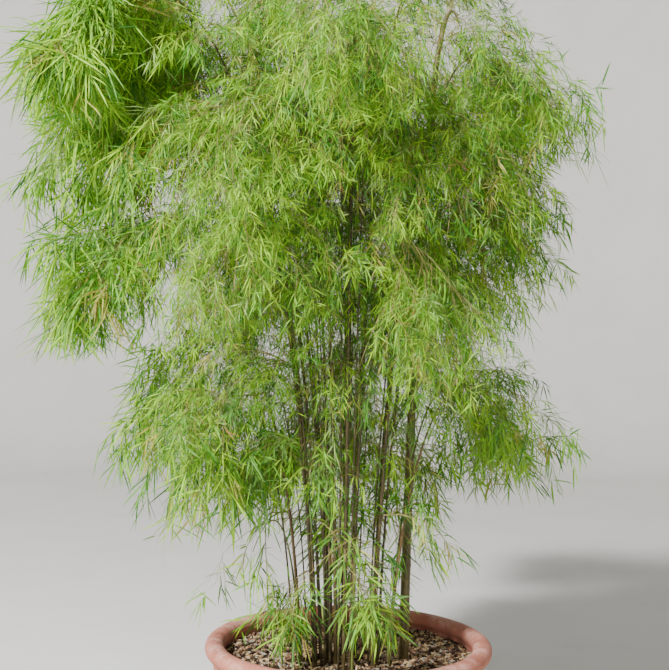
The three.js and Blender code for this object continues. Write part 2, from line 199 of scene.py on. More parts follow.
def tint(hexadecimal):
    """A colour as paint charts give it, for a shader's socket."""
    parts = [int(hexadecimal[i:i + 2], 16) / 255 for i in (1, 3, 5)]
    return (*[p / 12.92 if p <= 0.04045 else ((p + 0.055) / 1.055) ** 2.4 for p in parts], 1.0)


def add_node(tree, kind, settings={}, **inputs):
    """A shader node with its settings, and its sockets set or linked. Underscores stand for spaces."""
    node = tree.nodes.new(kind)
    for key, value in settings.items():
        setattr(node, key, value)
    for key, value in inputs.items():
        socket = node.inputs[int(key[1:])] if key[0] == "_" else node.inputs[key.replace("_", " ")]
        if isinstance(value, bpy.types.NodeSocket):
            tree.links.new(value, socket)
        else:
            socket.default_value = value
    return node


def new_group(name, inputs, outputs):
    """An empty shader node group with named sockets."""
    group = bpy.data.node_groups.new(name, "ShaderNodeTree")
    for direction, sockets in (("INPUT", inputs), ("OUTPUT", outputs)):
        for label, kind in sockets.items():
            group.interface.new_socket(label, in_out=direction, socket_type="NodeSocket" + kind)
    return group, group.nodes.new("NodeGroupInput").outputs, group.nodes.new("NodeGroupOutput").inputs


def mixed(tree, share, first, second, blend="MIX"):
    """One colour laid over another by a share."""
    settings = {"data_type": "RGBA", "blend_type": blend}
    return add_node(tree, "ShaderNodeMix", settings, _0=share, _6=first, _7=second).outputs[2]


def ranged(tree, value, low, high, least=0.0, most=1.0):
    """A value stretched from one range to another, and held there."""
    settings = {"interpolation_type": "SMOOTHSTEP"}
    node = add_node(tree, "ShaderNodeMapRange", settings, Value=value, From_Min=low, From_Max=high,
                    To_Min=least, To_Max=most)
    return node.outputs["Result"]


def counted(tree, operation, first, second):
    """A sum, product or other result of two values."""
    return add_node(tree, "ShaderNodeMath", {"operation": operation}, _0=first, _1=second).outputs[0]


def plain_material(name, roughness, specular):
    """A material with one Principled shader, whose colour and normal are linked afterwards."""
    material = bpy.data.materials.new(name)
    material.use_nodes = True
    material.node_tree.nodes.clear()
    tree = material.node_tree
    shader = add_node(tree, "ShaderNodeBsdfPrincipled", Roughness=roughness, Specular_IOR_Level=specular)
    output = add_node(tree, "ShaderNodeOutputMaterial", Surface=shader.outputs["BSDF"])
    return material, tree, shader, output


# Mottling: two tones that change over the surface in soft patches, with finer flecks inside them. It is what
# clay, bark, cane and leaves share.
mottling, given, made = new_group(
    "mottling",
    {"First": "Color", "Second": "Color", "Size": "Vector", "Fleck": "Float"},
    {"Colour": "Color", "Patch": "Float", "Grain": "Float"},
)
here = add_node(mottling, "ShaderNodeTexCoord").outputs["Object"]
stretched = add_node(mottling, "ShaderNodeVectorMath", {"operation": "MULTIPLY"}, _0=here, _1=given["Size"])
patches = add_node(mottling, "ShaderNodeTexNoise", Vector=stretched.outputs[0], Scale=1.0, Detail=3.0,
                   Roughness=0.6)
flecks = add_node(mottling, "ShaderNodeTexNoise", Vector=stretched.outputs[0], Scale=9.0, Detail=2.0,
                  Roughness=0.7)
patch = ranged(mottling, patches.outputs["Fac"], 0.36, 0.64)
grain = ranged(mottling, flecks.outputs["Fac"], 0.3, 0.7)
shared = counted(mottling, "ADD", counted(mottling, "MULTIPLY", grain, given["Fleck"]), patch)
total = counted(mottling, "DIVIDE", shared, counted(mottling, "ADD", given["Fleck"], 1.0))
mottling.links.new(mixed(mottling, total, given["First"], given["Second"]), made["Colour"])
mottling.links.new(patch, made["Patch"])
mottling.links.new(grain, made["Grain"])


def mottled(tree, first, second, size, fleck):
    """The mottling group between two tones."""
    return add_node(tree, "ShaderNodeGroup", {"node_tree": mottling}, First=tint(first), Second=tint(second),
                    Size=size, Fleck=fleck)


def bumped(tree, shader, height, distance, strength):
    """Relief on a shader's surface."""
    bump = add_node(tree, "ShaderNodeBump", Height=height, Distance=distance, Strength=strength)
    tree.links.new(bump.outputs["Normal"], shader.inputs["Normal"])


clay, tree, shader, _ = plain_material("terracotta", 0.8, 0.3)
body = mottled(tree, "#955645", "#ae6e5b", (7, 7, 9), 0.35)
here = add_node(tree, "ShaderNodeTexCoord").outputs["Object"]
grit = add_node(tree, "ShaderNodeTexNoise", Vector=here, Scale=420.0, Detail=1.0)
cloud = add_node(tree, "ShaderNodeTexNoise", Vector=here, Scale=16.0, Detail=6.0, Roughness=0.75)
height = add_node(tree, "ShaderNodeSeparateXYZ", Vector=here)
normal = add_node(tree, "ShaderNodeNewGeometry").outputs["Normal"]
facing = add_node(tree, "ShaderNodeSeparateXYZ", Vector=normal)
upward = ranged(tree, facing.outputs["Z"], 0.1, 0.95)
chalky = ranged(tree, cloud.outputs["Fac"], 0.42, 0.68)
bloom = counted(tree, "MULTIPLY", chalky, counted(tree, "ADD", upward, 0.35))
dusty = mixed(tree, counted(tree, "MULTIPLY", bloom, 0.38), body.outputs["Colour"], tint("#d9b9ae"))
speckled = mixed(tree, ranged(tree, grit.outputs["Fac"], 0.66, 0.74, 0, 0.45), dusty, tint("#6d3a2b"))
soot = counted(tree, "ADD", height.outputs["Z"], counted(tree, "MULTIPLY", cloud.outputs["Fac"], 0.12))
damp = ranged(tree, soot, 0.16, 0.07, 0, 0.55)
tree.links.new(mixed(tree, damp, speckled, tint("#5c3a2c")), shader.inputs["Base Color"])
tree.links.new(ranged(tree, cloud.outputs["Fac"], 0.3, 0.7, 0.68, 0.92), shader.inputs["Roughness"])
pits = counted(tree, "ADD", counted(tree, "MULTIPLY", body.outputs["Grain"], 0.5), grit.outputs["Fac"])
bumped(tree, shader, pits, 0.0008, 0.6)
bowl.data.materials.append(clay)
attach(bowl, "root")
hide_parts("pot")

# Bark mulch
# Chipped bark over potting soil fills the bowl to about 5 cm below the lip. The bed is one uneven mound, and
# the chips lie on it in four tones, from fresh tan over weathered grey to wet black-brown.
SOIL_TOP = 0.348
BED_GAP = 0.0008
BED_STATIONS = 48
BED_SIDES = 140
BED_ROUGH = 0.004
BED_LUMPS = (26, 70)
BED_RISE = 0.006
BED_MOUND = (-0.015, -0.10)
BED_MOUND_SPREAD = 0.03
BED_EDGE = 0.004
CHIP_EDGE = 0.008
CHIP_COUNT = 5200
CHIP_SEED = 31
CHIP_LENGTH = (0.008, 0.027)
CHIP_SMALLNESS = 1.6
CHIP_WIDTH = (0.3, 0.75)
CHIP_DEPTH = (0.0015, 0.005)
CHIP_LIFT = (-0.001, 0.006)
CHIP_SLOPE = 0.35
CHIP_TIP_OVER = 0.45
CHIP_CORNERS = 6
CHIP_KNOCK = (0.72, 1.1)
CHIP_UNEVEN = 0.35
CHIP_CURL = 0.6
CHIP_TOP = 0.86
CHIP_TONES = {
    "chips_dark": ("#33261e", "#554234", 0.27),
    "chips_brown": ("#6b4c38", "#8e6d52", 0.32),
    "chips_tan": ("#b09068", "#d3b88c", 0.28),
    "chips_grey": ("#968a7a", "#beb2a0", 0.13),
}


def unit(vectors):
    return vectors / np.maximum(np.linalg.norm(vectors, axis=-1, keepdims=True), 1e-9)


def bed_height(x, y):
    """The height of the mulch bed at places on it."""
    broad, fine = BED_LUMPS
    lumps = []
    for a, b in zip(np.ravel(x), np.ravel(y)):
        lump = noise.noise(Vector((a * broad, b * broad, 3.0)))
        lumps.append(lump + 0.5 * noise.noise(Vector((a * fine, b * fine, 9.0))))
    mound = np.exp(-((x - BED_MOUND[0]) ** 2 + (y - BED_MOUND[1]) ** 2) / BED_MOUND_SPREAD)
    return SOIL_TOP + BED_RISE * mound + BED_ROUGH * np.reshape(lumps, np.shape(x))


def heaped(radius, height, angle):
    """Lays the top of the bed in lumps, and leaves the part inside the bowl as it is."""
    x, y = radius * np.cos(angle), radius * np.sin(angle)
    return radius, np.where(height > SOIL_TOP - 1e-6, bed_height(x, y), height)


wall = bowl_inside()[::-1]
wall = wall[wall[:, 1] < SOIL_TOP - BED_EDGE] - (BED_GAP, 0)
rim = POT_NECK_RADIUS - POT_WALL - 3 * BED_GAP
top = [(radius, SOIL_TOP) for radius in np.linspace(rim, rim / BED_STATIONS, BED_STATIONS)]
bed = turned("mulch_bed", [(0, POT_FLOOR + BED_GAP), *wall, *top, (0, SOIL_TOP)], BED_SIDES, heaped)

draw = np.random.default_rng(CHIP_SEED)
spread = (rim - CHIP_EDGE) * np.sqrt(draw.uniform(0, 1, CHIP_COUNT))
turn = draw.uniform(0, 2 * math.pi, CHIP_COUNT)
x, y = spread * np.cos(turn), spread * np.sin(turn)
grade = draw.uniform(0, 1, CHIP_COUNT) ** CHIP_SMALLNESS
chip_length = grade * (CHIP_LENGTH[1] - CHIP_LENGTH[0]) + CHIP_LENGTH[0]
chip_width = chip_length * draw.uniform(*CHIP_WIDTH, CHIP_COUNT)
chip_depth = np.minimum(chip_width / 2, draw.uniform(*CHIP_DEPTH, CHIP_COUNT))
lift = draw.uniform(*CHIP_LIFT, CHIP_COUNT)
centre = np.column_stack([x, y, bed_height(x, y) + lift])
along = unit(np.column_stack([draw.normal(size=(CHIP_COUNT, 2)), draw.normal(0, CHIP_SLOPE, CHIP_COUNT)]))
across = unit(np.cross(unit(UP + CHIP_TIP_OVER * draw.normal(size=(CHIP_COUNT, 3))), along))
through = np.cross(along, across)
corner = np.linspace(0, 2 * math.pi, CHIP_CORNERS, endpoint=False)
corner = corner + draw.uniform(-CHIP_UNEVEN, CHIP_UNEVEN, (CHIP_COUNT, CHIP_CORNERS))
knock = draw.uniform(*CHIP_KNOCK, (CHIP_COUNT, CHIP_CORNERS))
flat = (along[:, None] * (np.cos(corner) * knock * chip_length[:, None] / 2)[..., None]
        + across[:, None] * (np.sin(corner) * knock * chip_width[:, None] / 2)[..., None])
curl = through[:, None] * (np.cos(corner) ** 2 * chip_depth[:, None] * CHIP_CURL)[..., None]
thick = (through * chip_depth[:, None] / 2)[:, None]
lower = centre[:, None] + flat - thick + curl
upper = centre[:, None] + CHIP_TOP * flat + thick + curl
chips = np.stack([lower, upper], 1)
side = np.arange(CHIP_CORNERS)
after = (side + 1) % CHIP_CORNERS
chip_walls = np.stack([side, after, CHIP_CORNERS + after, CHIP_CORNERS + side], -1)
chip_ends = np.stack([side[::-1], CHIP_CORNERS + side])
tone = draw.choice(len(CHIP_TONES), CHIP_COUNT, p=[share for _, _, share in CHIP_TONES.values()])


def copied(pattern, copies, vertices_each):
    """The faces of many like things, each with its own vertices."""
    start = np.arange(copies)[:, None, None] * vertices_each
    return (pattern[None] + start).reshape(-1, pattern.shape[1])


def bark_material(name, first, second):
    """Rough, dull bark between two tones."""
    material, tree, shader, _ = plain_material(name, 0.9, 0.25)
    bark = mottled(tree, first, second, (60, 60, 60), 1.0)
    tree.links.new(bark.outputs["Colour"], shader.inputs["Base Color"])
    bumped(tree, shader, bark.outputs["Grain"], 0.0012, 0.8)
    return material


bed.data.materials.append(bark_material("damp_soil", "#231913", "#3d2c21"))
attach(bed, "root")
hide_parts("soil")
for i, (name, (first, second, _)) in enumerate(CHIP_TONES.items()):
    own = chips[tone == i]
    faces = [copied(pattern, len(own), 2 * CHIP_CORNERS) for pattern in (chip_walls, chip_ends)]
    piece = make_mesh(name, own.reshape(-1, 3), faces, smooth=False)
    piece.data.materials.append(bark_material(name, first, second))
    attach(piece, "root")
    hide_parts("soil")

# Culms
# The canes stand in one clump and arch outwards. Each is a jointed grass stem with long smooth internodes
# between raised nodes, olive to tan, with sooty streaks and patches of pale wax.
CLUMP = np.array((-0.015, -0.100, SOIL_TOP))
LEFT = 180
LEFT_SKEW = 0.34
DEPTH_CUT = 0.14
RIGHT_DROP = 0.08
TIERS = [
    dict(name="inner", count=5, first=60, step=60, lean=0, ring=0.045, radius=0.0055, reach=0.400,
         height=2.050, droop=0.090, culm_share=0.76, leafiness=1.0, sprays=[]),
    dict(name="outer", count=6, first=210, step=60, lean=0, ring=0.095, radius=0.0055, reach=0.575,
         height=2.110, droop=0.400, culm_share=0.68, leafiness=1.0,
         sprays=[dict(ring=7, turn=-58, length=0.400, lift=0.050, fall=0.250),
                 dict(ring=5, turn=50, length=0.400, lift=0.060, fall=0.170)]),
    dict(name="middle", count=2, first=180, step=-100, lean=0, ring=0.122, radius=0.005, reach=0.300,
         height=1.200, droop=0.500, culm_share=0.64, leafiness=0.85,
         sprays=[dict(ring=6, turn=50, length=0.250, lift=0.050, fall=0.160)]),
    dict(name="low", count=1, first=355, step=0, lean=0, ring=0.130, radius=0.0045, reach=0.470, height=1.030,
         droop=0.220, culm_share=0.6, leafiness=0.85, sprays=[]),
    dict(name="shoot", count=4, first=200, step=80, lean=0, ring=0.132, radius=0.004, reach=0.110,
         height=0.540, droop=0.200, culm_share=0.6, leafiness=0.58, sprays=[]),
    dict(name="stout", count=1, first=15, step=0, lean=-15, ring=0.181, radius=0.014, reach=0.200,
         height=2.130, droop=0.130, culm_share=0.8, leafiness=1.0,
         sprays=[dict(ring=5, turn=-20, length=0.420, lift=0.050, fall=0.200)]),
    dict(name="back", count=1, first=57, step=0, lean=-45, ring=0.270, radius=0.0045, reach=0.360,
         height=0.980, droop=0.200, culm_share=0.65, leafiness=0.8, sprays=[]),
]
CULM_RISE = (0.06, 0.5)
CULM_SHOULDER = (0.4, 1.08)
CULM_RINGS = 8
CULM_TAPER = 0.5
CULM_TIP_RADIUS = 0.0011
CULM_SINK = 0.012
CULM_SIDES = 12
CULM_SEED = 77
CULM_STATIONS = 40
LENGTH_STATIONS = 60
FIRST_NODE = 0.03
LAST_NODE = 0.97
INTERNODE = (0.05, 0.17)
INTERNODE_SPREAD = (0.85, 1.15)
SHORT_INTERNODES = 6
NODE_RADIUS = 0.0055
NODE_SIZE = (0.6, 2.0)
NODE_SHAPE = [(-0.020, 1.00), (-0.0035, 1.0), (-0.0012, 1.10), (0.0, 1.17), (0.0016, 1.06), (0.0028, 1.13),
              (0.0050, 1.02), (0.012, 0.985)]
THIN_SIDES = 7
COMPANIONS = 2
COMPANION_TIERS = ("inner", "outer", "middle")
COMPANION_APART = (0.014, 0.030)
COMPANION_SPLAY = (0.021, 0.07)
COMPANION_SIZE = (0.45, 0.65)
COMPANION_HEIGHT = (0.72, 0.98)
COMPANION_NODES = 0.03
COMPANION_SHARE = 0.99
CULM_TONES = {
    "culms_olive": ("#352d18", "#574a28", ("outer", "inner")),
    "culms_tan": ("#50391f", "#7a5e38", ("middle", "low", "back")),
    "culms_green": ("#464e22", "#6a6f34", ("shoot",)),
    "culm_stout": ("#413b20", "#6a5f37", ("stout",)),
}


def bearing(degrees):
    """The level direction on a bearing, which turns from the right by way of the back."""
    angle = math.radians(degrees)
    return np.array((math.cos(angle), math.sin(angle), 0.0))


def reach_share(degrees):
    """How far the crown reaches on a bearing, against its reach on average."""
    from_left = math.radians(degrees - LEFT)
    return (1 + LEFT_SKEW * math.cos(from_left)) * (1 - DEPTH_CUT * math.sin(from_left) ** 2)


def height_share(degrees):
    """How high a culm stands on a bearing, against one on the left."""
    from_left = math.radians(degrees - LEFT)
    return 1 - RIGHT_DROP * (1 - math.cos(from_left)) / 2


def culm_line(tier, foot_degrees):
    """The whole line of a culm, from its foot to the drooping end of its top spray."""
    degrees = foot_degrees + tier["lean"]
    out = bearing(degrees) * tier["reach"] * reach_share(degrees)
    height = tier["height"] * height_share(degrees)
    foot = CLUMP + bearing(foot_degrees) * tier["ring"]
    rise = foot + out * CULM_RISE[0] + UP * height * CULM_RISE[1]
    shoulder = foot + out * CULM_SHOULDER[0] + UP * height * CULM_SHOULDER[1]
    end = foot + out + UP * (height - tier["droop"])
    return np.array((foot, rise, shoulder, end))


def stretch(controls, start, end):
    """The part of a cubic curve between two shares, as a curve of its own."""
    def blossom(a, b, c):
        points = controls
        for share in (a, b, c):
            points = points[:-1] * (1 - share) + points[1:] * share
        return points[0]
    return np.array((blossom(start, start, start), blossom(start, start, end), blossom(start, end, end),
                     blossom(end, end, end)))


def heading_of(controls, share):
    """The direction of curves at shares of them."""
    legs = np.diff(np.asarray(controls, float), axis=-2)
    share = np.asarray(share, float)[..., None]
    first, second, third = np.moveaxis(legs, -2, 0)
    return unit((1 - share) ** 2 * first + 2 * (1 - share) * share * second + share**2 * third)


def tubes(paths, radii, across, sides, tips=None):
    """Vertices and faces of tubes along paths, closed at both ends. Tips beyond the paths make points."""
    count, stations = radii.shape
    heading = unit(np.gradient(paths, axis=1))
    side = unit(across[:, None] - heading * np.sum(across[:, None] * heading, -1, keepdims=True))
    depth = np.cross(side, heading)
    angle = np.linspace(0, 2 * math.pi, sides, endpoint=False)
    round_off = side[:, :, None] * np.sin(angle)[:, None] + depth[:, :, None] * np.cos(angle)[:, None]
    rings = (paths[:, :, None] + round_off * radii[..., None, None]).reshape(count, -1, 3)
    vertices = np.concatenate([rings, paths[:, :1], paths[:, -1:] if tips is None else tips], 1)
    corner = np.arange(sides)
    after = (corner + 1) % sides
    last = (stations - 1) * sides
    foot = np.stack([np.full(sides, stations * sides), after, corner], -1)
    tip = np.stack([last + corner, last + after, np.full(sides, stations * sides + 1)], -1)
    each = stations * sides + 2
    faces = [copied(pattern, count, each) for pattern in (ring_faces(stations, sides), foot, tip)]
    return vertices.reshape(-1, 3), faces


def joined(parts):
    """Several sets of vertices and faces as one."""
    start = np.cumsum([0] + [len(vertices) for vertices, _ in parts])
    faces = [face + first for first, (_, own) in zip(start, parts) for face in own]
    return np.concatenate([vertices for vertices, _ in parts]), faces


def cane_shape(line, tier, node_shares, length, sides=CULM_SIDES):
    """One jointed cane as a tube with a swollen ring at each node."""
    marks = [np.linspace(0, 1, CULM_STATIONS)]
    for share in node_shares:
        marks.append([share + offset / length for offset, _ in NODE_SHAPE])
    share = np.unique(np.clip(np.concatenate(marks), 0, 1))
    taper = 1 - (1 - CULM_TAPER) * share / tier["culm_share"]
    radius = tier["radius"] * np.maximum(taper, 0.0)
    beyond = share > tier["culm_share"]
    left = (share - tier["culm_share"]) / (1 - tier["culm_share"])
    end_radius = tier["radius"] * CULM_TAPER
    radius = np.where(beyond, end_radius + (CULM_TIP_RADIUS - end_radius) * left, radius)
    offsets, swells = np.transpose(NODE_SHAPE)
    for node in node_shares:
        from_node = (share - node) * length / np.clip(radius / NODE_RADIUS, *NODE_SIZE)
        radius = radius * np.interp(from_node, offsets, swells, left=1, right=1)
    path = bezier(line, share)
    path[0] -= UP * CULM_SINK
    across = np.cross(UP, unit(line[-1] * (1, 1, 0) - line[0] * (1, 1, 0)))
    return tubes(path[None], radius[None], across[None], sides)


draw = np.random.default_rng(CULM_SEED)
culms = []
for tier in TIERS:
    for i in range(tier["count"]):
        foot_degrees = tier["first"] + i * tier["step"]
        line = culm_line(tier, foot_degrees)
        path = bezier(line, np.linspace(0, 1, LENGTH_STATIONS))
        length = np.linalg.norm(np.diff(path, axis=0), axis=1).sum()
        nodes = [FIRST_NODE]
        while nodes[-1] < length:
            grown = min(len(nodes) / SHORT_INTERNODES, 1)
            internode = INTERNODE[0] + (INTERNODE[1] - INTERNODE[0]) * grown
            nodes.append(nodes[-1] + draw.uniform(*INTERNODE_SPREAD) * internode)
        shares = np.array([node / length for node in nodes if node < LAST_NODE * length])
        culms.append(dict(name=f"{tier['name']}_{i + 1}", tier=tier, line=line, nodes=shares, length=length,
                          degrees=foot_degrees + tier["lean"]))


def cane_material(name, first, second):
    """Cane skin: long streaks down the internodes, a pale waxy bloom and dark scuffs."""
    material, tree, shader, _ = plain_material(name, 0.5, 0.4)
    skin = mottled(tree, first, second, (150, 150, 5), 0.6)
    here = add_node(tree, "ShaderNodeTexCoord").outputs["Object"]
    streak = add_node(tree, "ShaderNodeMapping", Vector=here, Scale=(420, 420, 14))
    soot = add_node(tree, "ShaderNodeTexNoise", Vector=streak.outputs[0], Scale=1.0, Detail=3.0)
    wax = add_node(tree, "ShaderNodeTexNoise", Vector=here, Scale=26.0, Detail=4.0)
    darker = mixed(tree, ranged(tree, soot.outputs["Fac"], 0.52, 0.72, 0, 0.65), skin.outputs["Colour"],
                   tint("#2f2717"))
    waxed = mixed(tree, ranged(tree, wax.outputs["Fac"], 0.55, 0.75, 0, 0.35), darker, tint("#b09c6c"))
    tree.links.new(waxed, shader.inputs["Base Color"])
    tree.links.new(ranged(tree, wax.outputs["Fac"], 0.3, 0.8, 0.38, 0.75), shader.inputs["Roughness"])
    bumped(tree, shader, soot.outputs["Fac"], 0.0006, 0.7)
    return material


def companions_of(culm):
    """Thinner canes that rise beside a culm, a little splayed from it."""
    beside = []
    for _ in range(COMPANIONS if culm["tier"]["name"] in COMPANION_TIERS else 0):
        line = culm["line"].copy()
        away = bearing(draw.uniform(0, 360))
        line += away * draw.uniform(*COMPANION_APART)
        line[2:] += away * draw.uniform(*COMPANION_SPLAY)
        tier = dict(culm["tier"], radius=culm["tier"]["radius"] * draw.uniform(*COMPANION_SIZE))
        share = culm["tier"]["culm_share"] * draw.uniform(*COMPANION_HEIGHT)
        tier["culm_share"] = COMPANION_SHARE
        nodes = (culm["nodes"] + draw.uniform(0, COMPANION_NODES)) / share
        nodes = nodes[nodes < LAST_NODE]
        beside.append(cane_shape(stretch(line, 0, share), tier, nodes, culm["length"] * share, THIN_SIDES))
    return beside


thin_canes = []
for name, (first, second, tier_names) in CULM_TONES.items():
    own = [culm for culm in culms if culm["tier"]["name"] in tier_names]
    for culm in own:
        thin_canes += companions_of(culm)
    canes = [cane_shape(culm["line"], culm["tier"], culm["nodes"], culm["length"]) for culm in own]
    piece = make_mesh(name, *joined(canes))
    piece.data.materials.append(cane_material(name, first, second))
    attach(piece, "root")
    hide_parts(*[f"culm_{culm['name']}" for culm in own])

piece = make_mesh("culms_thin", *joined(thin_canes))
piece.data.materials.append(cane_material("culms_thin", "#352d1b", "#54482b"))
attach(piece, "root")
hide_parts(*[f"culm_{culm['name']}" for culm in culms if culm["tier"]["name"] in COMPANION_TIERS])

# Branches and twigs
# Side branches leave the culms at their nodes and arch over. Wiry side shoots leave them and the culms'
# upper nodes. Twigs and finer twiglets leave those to the left and right in turn, and droop.
STEM_SQUARE = 0.3
STEM_SHOULDER = 0.75
STEM_STEPS = 4
STEM_RADII = (0.0021, 0.0010)
SHOOT_RADII = (0.0014, 0.0008)
TWIG_RADII = (0.0009, 0.0006)
TWIGLET_RADII = (0.0006, 0.0004)
SHOOTS_PER_STEM = 14
SHOOT_LENGTH = 0.29
BRANCH_PLACE = 0.6
BRANCH_STRAY = 0.3
BRANCH_FROM = 0.05
BRANCH_ROLL = 1.5
BRANCH_SHORTENING = 0.35
SHOOT_SPREAD = dict(size=(0.6, 1.2), turn=(0.4, 1.3), lift=(-0.2, 0.4), droop=(0.3, 0.6))
STEM_TWIG_SPREAD = dict(size=(0.7, 1.2), turn=(0.4, 1.1), lift=(-0.2, 0.4), droop=(0.2, 0.5))
SHOOT_TWIG_SPREAD = dict(size=(0.6, 1.25), turn=(0.4, 1.2), lift=(-0.3, 0.3), droop=(0.2, 0.6))
TWIGLET_SPREAD = dict(size=(0.7, 1.4), turn=(0.4, 1.3), lift=(-0.4, 0.35), droop=(0.2, 0.6))
# Shoots at a culm's nodes are fewer and smaller lower down. They start lower at the back and at the sides.
SHOOTS_PER_NODE = 4
NODE_SHOOT_SIZE = (0.5, 1.2)
NODE_SHOOT_FROM = 1.12
NODE_SHOOT_BEHIND = 0.36
NODE_SHOOT_FADE = 0.55
NODE_SHOOT_THIN = 0.13
NODE_SHOOT_SMALL = 0.45
NODE_SHOOT_ASIDE = 0.75
NODE_SHOOT_TURN = 30
NODE_SHOOT_RISE = (0.2, 0.9)
NODE_SHOOT_DROOP = 0.5
BARE_FOOT = 0.72
BARE_SHOOT_FOOT = 0.60
# Low sprays have fewer twigs and leaves, and their leaves are long.
LOW_UNDER = 1.0
LOW_SLOPE = 0.3
LOW_DEPTH = 0.3
LOW_TWIGS = 0.4
LOW_TWIG_LENGTH = 0.65
LOW_LEAVES = 0.38
LOW_LEAF_LENGTH = 0.85
# Single shoots: culm, node, bearing in degrees, length, rise, droop and how many.
PLACED_SHOOTS = [
    ("outer_1", 5, 190, 0.30, 0.3, 0.9, 3),
    ("inner_3", 5, 185, 0.30, 0.3, 0.9, 2),
    ("outer_6", 4, 185, 0.26, 0.6, 0.6, 3),
    ("outer_1", 4, 205, 0.22, 0.6, 0.6, 2),
    ("middle_1", 4, 185, 0.20, 0.3, 0.6, 1),
    ("outer_6", 3, 200, 0.25, 0.5, 0.7, 1),
    ("outer_1", 2, 215, 0.11, 0.1, 1.1, 3),
    ("outer_2", 2, -70, 0.12, 0.4, 1.0, 1),
    ("outer_1", 3, -40, 0.22, 0.2, 1.0, 1),
    ("outer_3", 3, -12, 0.20, 0.3, 0.6, 2),
    ("outer_1", 5, 175, 0.28, 0.5, 0.5, 3),
    ("inner_3", 6, 180, 0.28, 0.1, 0.8, 2),
    ("outer_1", 11, 150, 0.22, 0.3, 0.6, 3),
    ("inner_3", 12, 200, 0.20, 0.1, 1.0, 3),
    ("outer_6", 11, 200, 0.15, 0.9, 0.4, 2),
    ("outer_3", 11, -15, 0.19, 0.2, 0.9, 3),
    ("outer_4", 12, 10, 0.14, 0.2, 0.9, 3),
    ("outer_3", 5, -10, 0.30, 0.3, 0.5, 3),
    ("outer_4", 5, 12, 0.28, 0.4, 0.5, 2),
    ("outer_4", 8, 10, 0.30, 0.2, 0.8, 3),
    ("outer_3", 7, -15, 0.30, 0.2, 0.7, 2),
]
PLACED_TURN = 16
PLACED_RISE = (0.6, 1.4)
PLACED_SIZE = (0.8, 1.2)
TWIGS_PER_STEM = 8
TWIGS_PER_SHOOT = 5
TWIG_LENGTH = 0.165
TWIGLETS_PER_TWIG = 6
TWIGLET_LENGTH = 0.085
FULLNESS = {"inner": 0.75, "outer": 1.0, "middle": 0.75, "low": 0.8, "shoot": 0.14, "stout": 1.2, "back": 0.7}
REACH_FULLNESS = 0.36
BARE_TWIGLETS = 0.11
MASS_MARGIN = 0.02
MASS_HEM = 0.05
SPACE_OVERLAP = 0.12
POT_CLEARANCE = 0.006
TRIANGLES_PER_PIECE = 190000
TWIG_SEED = 4000

# Not quite upright, so that an upright branch has a level side too.
NUDGED_UP = UP + 1e-4

# Distances are measured for this many places at a time, to spare memory.
PLACES_AT_ONCE = 4096


def side_stem(culm, spray):
    """The stem of a side spray starts square to the culm, then arches out and falls."""
    degrees = culm["degrees"] + spray["turn"]
    heading = bearing(degrees)
    share = spray["ring"] / CULM_RINGS * culm["tier"]["culm_share"]
    along = heading_of(culm["line"], share)
    square = unit(heading - along * heading.dot(along))
    start = bezier(culm["line"], share)
    length = spray["length"] * reach_share(degrees)
    first = start + square * length * STEM_SQUARE
    shoulder = start + heading * length * STEM_SHOULDER + UP * spray["lift"]
    end = start + heading * length - UP * spray["fall"]
    return np.array((start, first, shoulder, end))


stems = []
masses = []
leafiness = []
fullness = []
for culm in culms:
    tier = culm["tier"]
    stems.append(stretch(culm["line"], tier["culm_share"], 1.0))
    masses.append(f"foliage_{culm['name']}_top")
    for place, spray in enumerate(tier["sprays"]):
        stems.append(side_stem(culm, spray))
        masses.append(f"foliage_{culm['name']}_side_{place + 1}")
    leafiness += [tier["leafiness"]] * (1 + len(tier["sprays"]))
    for turn in (0, *[spray["turn"] for spray in tier["sprays"]]):
        reach = reach_share(culm["degrees"] + turn) / (1 + LEFT_SKEW)
        fullness.append(FULLNESS[tier["name"]] * reach ** REACH_FULLNESS)
stems = np.array(stems)
leafiness = np.array(leafiness)
fullness = np.array(fullness)
stem_points = bezier(stems[:, None], np.linspace(0, 1, STEM_STEPS + 1)[None].repeat(len(stems), 0))
mass_boxes = np.array([[list(corner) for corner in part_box(mass)] for mass in masses])


def stem_distances(places):
    """How far each place is from each stem, which is taken as a few straight spans."""
    starts = stem_points[:, :-1].reshape(-1, 3)
    leg = stem_points[:, 1:].reshape(-1, 3) - starts
    near = []
    for part in np.array_split(places, max(1, len(places) // PLACES_AT_ONCE)):
        offset = part[:, None] - starts
        share = np.clip(np.sum(offset * leg, -1) / np.sum(leg * leg, -1), 0, 1)
        distance = np.linalg.norm(offset - share[..., None] * leg, axis=-1)
        near.append(distance.reshape(len(part), len(stems), STEM_STEPS).min(-1))
    return np.concatenate(near)


def own_space(places, owner):
    """Whether each place is about as near to its own stem as to any other."""
    distance = stem_distances(places)
    return distance[np.arange(len(places)), owner] < distance.min(1) + SPACE_OVERLAP


def clear_of_pot(places):
    """Whether each place is over the bowl, inside it above the bed, or outside it."""
    radius = np.hypot(places[:, 0], places[:, 1])
    over = places[:, 2] > POT_HEIGHT + POT_CLEARANCE
    inside = (radius < LIP_RADIUS - LIP_WIDTH - POT_CLEARANCE) & (places[:, 2] > SOIL_TOP + POT_CLEARANCE)
    outside = (radius > LIP_RADIUS + POT_CLEARANCE) & (places[:, 2] > 0)
    return over | inside | outside


def in_crown(places):
    """Whether each place is within the plant's reach and clear of its pot."""
    low, high = np.array(cad_box[0]), np.array(cad_box[1])
    return np.all((places > low) & (places < high), axis=1) & clear_of_pot(places)


def in_mass(places, owner):
    """Whether each place is within the reach of its own mass."""
    low, high = mass_boxes[owner, 0] - MASS_MARGIN, mass_boxes[owner, 1] + MASS_MARGIN
    low[:, 2] += MASS_MARGIN + MASS_HEM * (1 - lowness(places))
    return np.all((places > low) & (places < high), axis=1) & own_space(places, owner) & in_crown(places)


